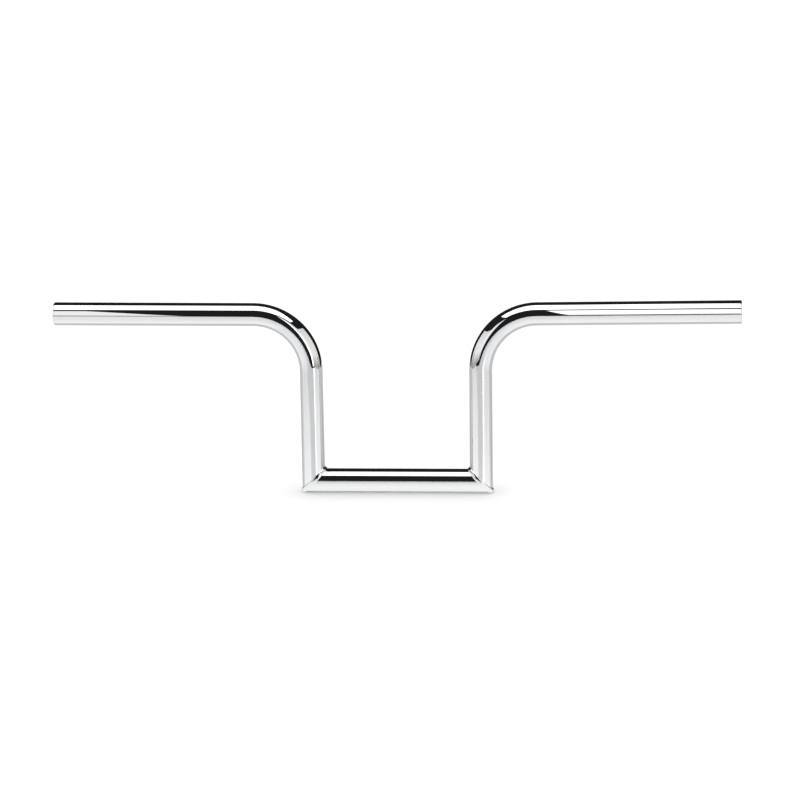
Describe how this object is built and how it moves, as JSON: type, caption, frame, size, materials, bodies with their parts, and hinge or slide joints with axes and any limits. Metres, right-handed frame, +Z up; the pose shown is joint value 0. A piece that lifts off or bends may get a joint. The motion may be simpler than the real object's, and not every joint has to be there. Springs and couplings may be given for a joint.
{
  "type": "handlebar",
  "caption": "Motorcycle handlebar with a straight centre tube, two upright risers welded on in square mitred corners, and wide bends out to near-level swept grips.",
  "frame": {"origin": "middle of the centre tube's axis, where the motorcycle's clamps hold the bar", "axes": "+X to the rider's right along the centre tube, +Y forwards, away from the rider, +Z up along the risers"},
  "size_m": [0.7486, 0.0458, 0.2173],
  "materials": {
    "chrome_tube": "mirror-polished chrome plate on steel tube",
    "chrome_weld": "chrome plate over a smooth weld bead, with faint ripples"
  },
  "bodies": {
    "root": {"centre_tube": "chrome_tube", "left_bar": "chrome_tube", "right_bar": "chrome_tube", "left_weld": "chrome_weld", "right_weld": "chrome_weld"}
  },
  "joints": []
}
